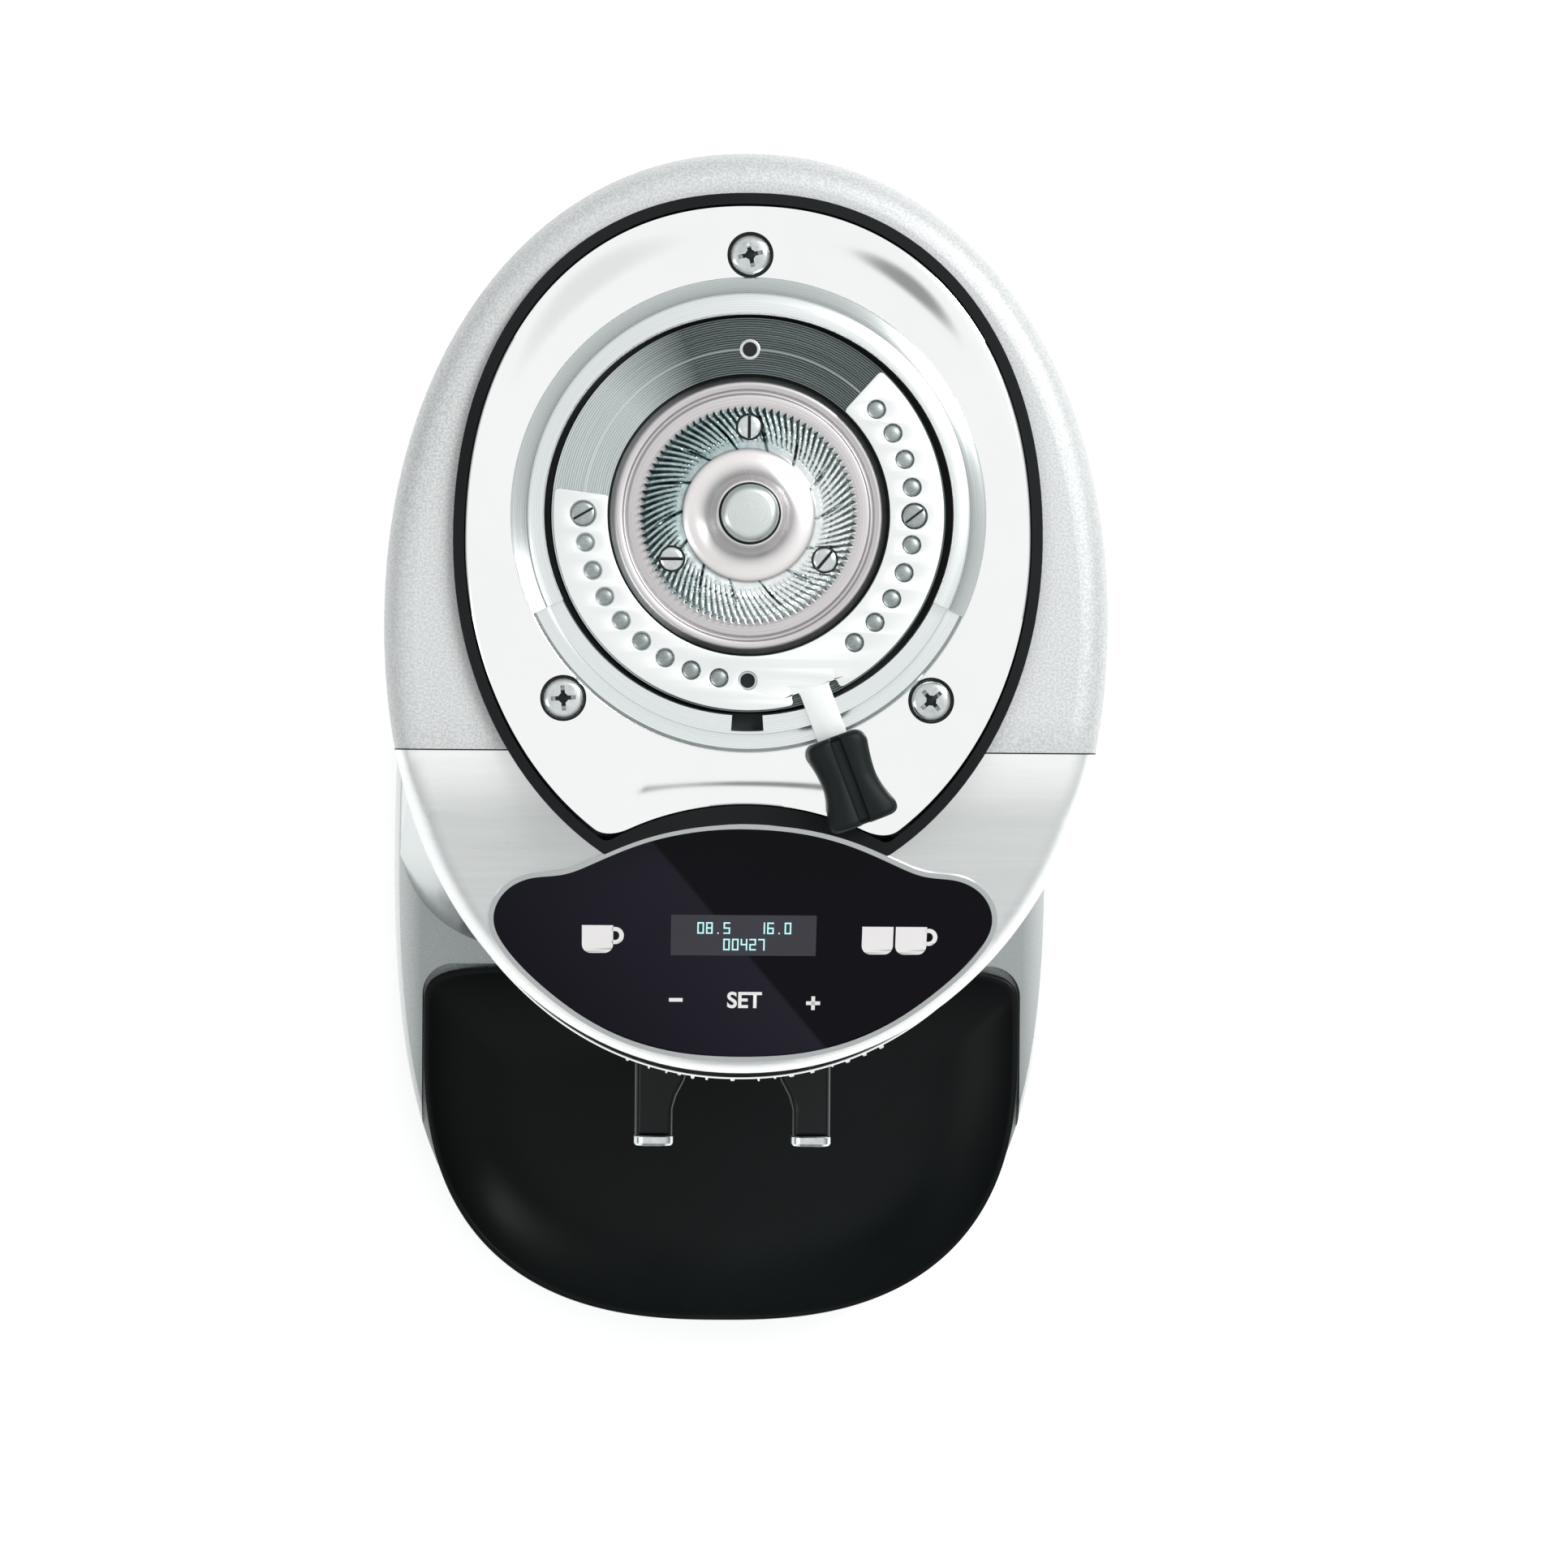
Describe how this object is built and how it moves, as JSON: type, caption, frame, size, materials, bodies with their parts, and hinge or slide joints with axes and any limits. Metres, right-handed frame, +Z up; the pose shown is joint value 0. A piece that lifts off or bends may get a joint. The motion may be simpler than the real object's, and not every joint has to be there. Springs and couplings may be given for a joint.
{
  "type": "burr coffee grinder",
  "caption": "Countertop burr coffee grinder, opened: oval column body, sloping touch panel, setting arm around a flat lower burr, filter-holder fork and grounds tray.",
  "frame": {"origin": "middle of the footprint, on the surface that the feet stand on", "axes": "+Z up along the burr axis, -Y towards the user, +X to the user's right"},
  "size_m": [0.2276, 0.3799, 0.402],
  "materials": {
    "shell_paint": "fine textured light grey paint",
    "cover_aluminium": "satin polished",
    "bright_chrome": "polished",
    "base_silver": "smooth silver",
    "gasket_rubber": "matt",
    "foot_rubber": "matt",
    "tray_black": "soft satin",
    "panel_glass": "back-printed, polished",
    "under_black": "satin",
    "turned_steel": "turned rings",
    "index_steel": "fine satin",
    "burr_steel": "ground",
    "carrier_alloy": "warm satin",
    "hub_steel": "turned",
    "screw_steel": "plain",
    "knob_rubber": "soft matt",
    "fork_black": "satin",
    "chamber_alloy": "machined casting",
    "motor_steel": "satin",
    "lamination": "plain",
    "copper_winding": "enamelled",
    "board_green": "lacquered",
    "plain_plastic": "moulded",
    "switch_black": "moulded"
  },
  "bodies": {
    "housing": {"base_casting": "base_silver", "bottom_cover": "under_black", "feet": "foot_rubber", "base_screws": "screw_steel", "rear_shell": "shell_paint", "front_cover": "cover_aluminium", "column_cover": "cover_aluminium", "lip_trim": "bright_chrome", "head_underplate": "under_black", "plate_gasket": "gasket_rubber", "glass_panel": "panel_glass", "glass_bezel": "bright_chrome", "display_module": "plain_plastic", "control_board": "board_green", "top_plate": "bright_chrome", "hopper_collar": "bright_chrome", "plate_screws": "screw_steel", "grinding_chamber": "chamber_alloy", "chute": "plain_plastic", "shaft_seal": "gasket_rubber", "motor_housing": "motor_steel", "motor_screws": "screw_steel", "upper_bearing": "screw_steel", "lower_bearing": "screw_steel", "stator": "lamination", "windings": "copper_winding", "capacitor": "plain_plastic", "power_board": "board_green", "guide_plate": "screw_steel", "clamp_screws": "screw_steel", "dose_switch": "plain_plastic", "switch_bezel": "switch_black", "cable_gland": "plain_plastic", "gland_nut": "plain_plastic"},
    "rotor": {"motor_shaft": "hub_steel", "rotor_core": "lamination", "cooling_fan": "plain_plastic", "burr_carrier": "carrier_alloy", "lower_burr": "burr_steel", "burr_screws": "screw_steel", "hub_cone": "carrier_alloy", "hub_bolt": "hub_steel"},
    "adjuster": {"adjusting_ring": "turned_steel", "index_plate": "index_steel", "index_screws": "screw_steel", "adjust_knob": "knob_rubber"},
    "fork_carriage": {"fork_slider": "fork_black", "fork": "fork_black", "fork_caps": "bright_chrome"},
    "dose_trigger": {"dose_button": "switch_black"},
    "mains_rocker": {"power_rocker": "switch_black"},
    "grounds_tray": {"tray": "tray_black"}
  },
  "joints": [
    {"name": "burr_spin", "type": "hinge", "parent": "housing", "child": "rotor", "pos_m": [0, 0.0762, 0.33], "axis": [0, 0, 1], "continuous": true},
    {"name": "grind_setting", "type": "hinge", "parent": "housing", "child": "adjuster", "pos_m": [0, 0.0762, 0.3823], "axis": [0, 0, 1], "range_deg": [-80, 38]},
    {"name": "fork_height", "type": "slide", "parent": "housing", "child": "fork_carriage", "axis": [0, 0, 1], "range_m": [-0.01, 0.01]},
    {"name": "dose_press", "type": "slide", "parent": "housing", "child": "dose_trigger", "axis": [0, 1, 0], "range_m": [0, 0.0035], "stiffness_N_per_m": 600},
    {"name": "power_switch", "type": "hinge", "parent": "housing", "child": "mains_rocker", "pos_m": [0.018, 0.1782, 0.026], "axis": [0, 0, 1], "range_deg": [-14, 0]},
    {"name": "tray_lift", "type": "slide", "parent": "housing", "child": "grounds_tray", "axis": [0, -0.9397, 0.342], "range_m": [0, 0.2]}
  ]
}
